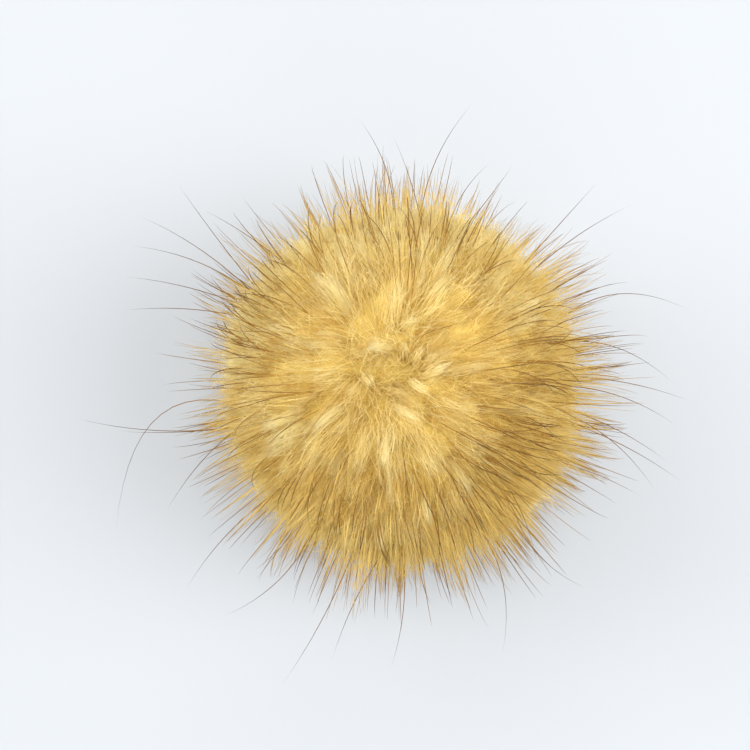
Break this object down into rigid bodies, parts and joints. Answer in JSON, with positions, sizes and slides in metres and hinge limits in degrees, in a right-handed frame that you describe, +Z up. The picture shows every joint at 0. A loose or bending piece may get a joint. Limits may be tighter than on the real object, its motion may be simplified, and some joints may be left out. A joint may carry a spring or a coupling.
{
  "type": "fur pom pom",
  "caption": "Round golden fur pom pom with dense underfur, brown-tipped guard hairs in pointed locks, long stray hairs and a small flat spot to rest on.",
  "frame": {"origin": "middle of the flat spot that the ball rests on", "axes": "+Z up through the ball, away from the flat spot; the crown where the fur parts leans from +Z towards -X"},
  "size_m": [0.1552, 0.1406, 0.09],
  "materials": {
    "fur": "soft fur, golden with brown hair tips"
  },
  "bodies": {
    "root": {"pom_pom": "fur"}
  },
  "joints": []
}
